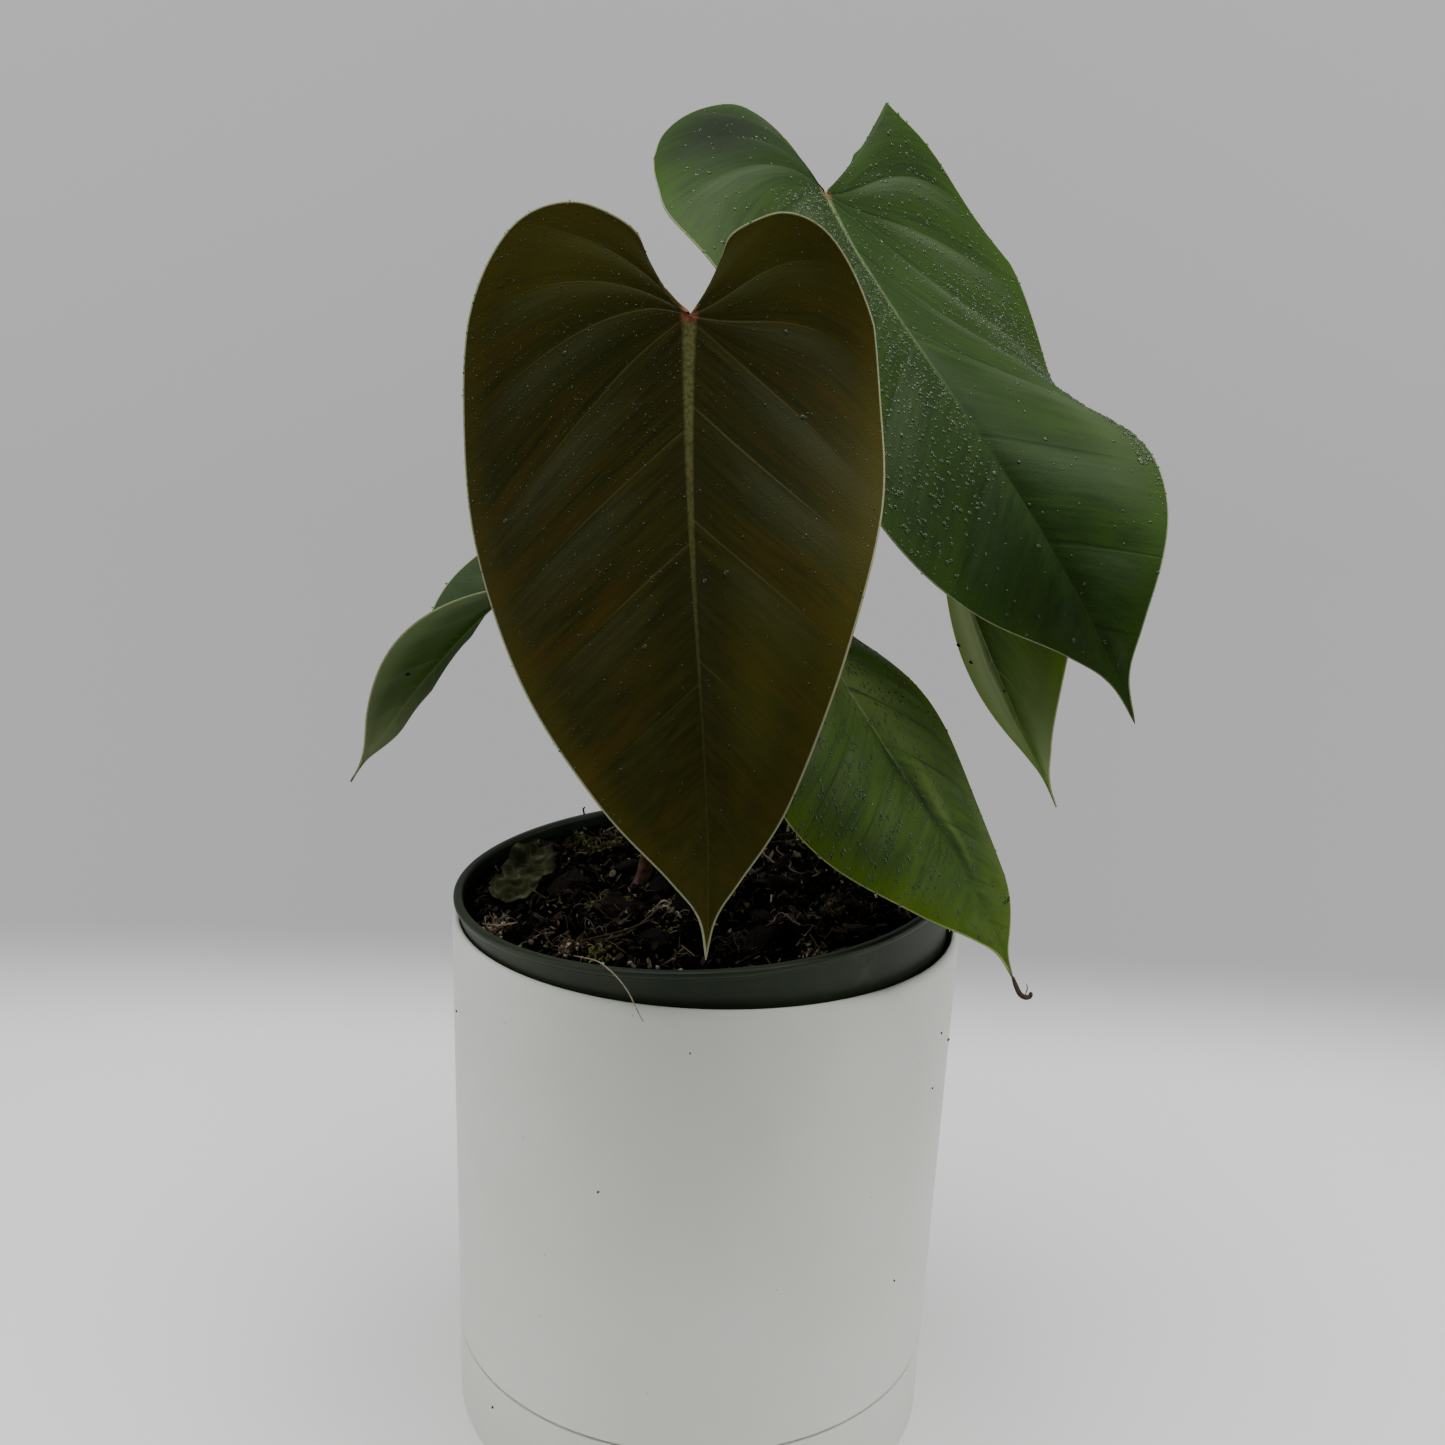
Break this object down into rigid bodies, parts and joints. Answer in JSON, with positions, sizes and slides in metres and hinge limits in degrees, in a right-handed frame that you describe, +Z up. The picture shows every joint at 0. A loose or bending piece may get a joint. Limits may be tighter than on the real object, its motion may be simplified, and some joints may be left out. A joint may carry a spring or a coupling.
{
  "type": "potted philodendron lynamii",
  "caption": "Potted philodendron: heart-shaped leaves on tall stalks from a creeping stem, in a grower's pot set inside a white ceramic pot with a flush saucer.",
  "frame": {"origin": "centre of the saucer's flat underside", "axes": "+Z up along the ceramic pot's axis, +Y away from the viewer's side, +X to the viewer's right"},
  "size_m": [0.2495, 0.2113, 0.4375],
  "materials": {
    "white_ceramic": "matte, fine speckle",
    "green_plastic": "satin, moulded",
    "bark_mix": "rough, fibrous",
    "stem_green": "waxy, dull",
    "petiole_red": "waxy, satin",
    "leaf_bronze": "satin, veined",
    "leaf_dark_green": "satin, veined, dewy",
    "leaf_green": "satin, veined, dewy",
    "leaf_bright_green": "satin, veined, dewy",
    "leaf_yellow_green": "satin, veined"
  },
  "bodies": {
    "root": {"saucer": "white_ceramic", "ceramic_pot": "white_ceramic", "grower_pot": "green_plastic", "soil": "bark_mix", "creeping_stem": "stem_green", "front_petiole": "petiole_red", "upper_petiole": "petiole_red", "left_petiole": "petiole_red", "lower_petiole": "petiole_red", "back_petiole": "petiole_red", "front_blade": "leaf_bronze", "upper_blade": "leaf_dark_green", "left_blade": "leaf_green", "lower_blade": "leaf_bright_green", "back_blade": "leaf_yellow_green"}
  },
  "joints": []
}
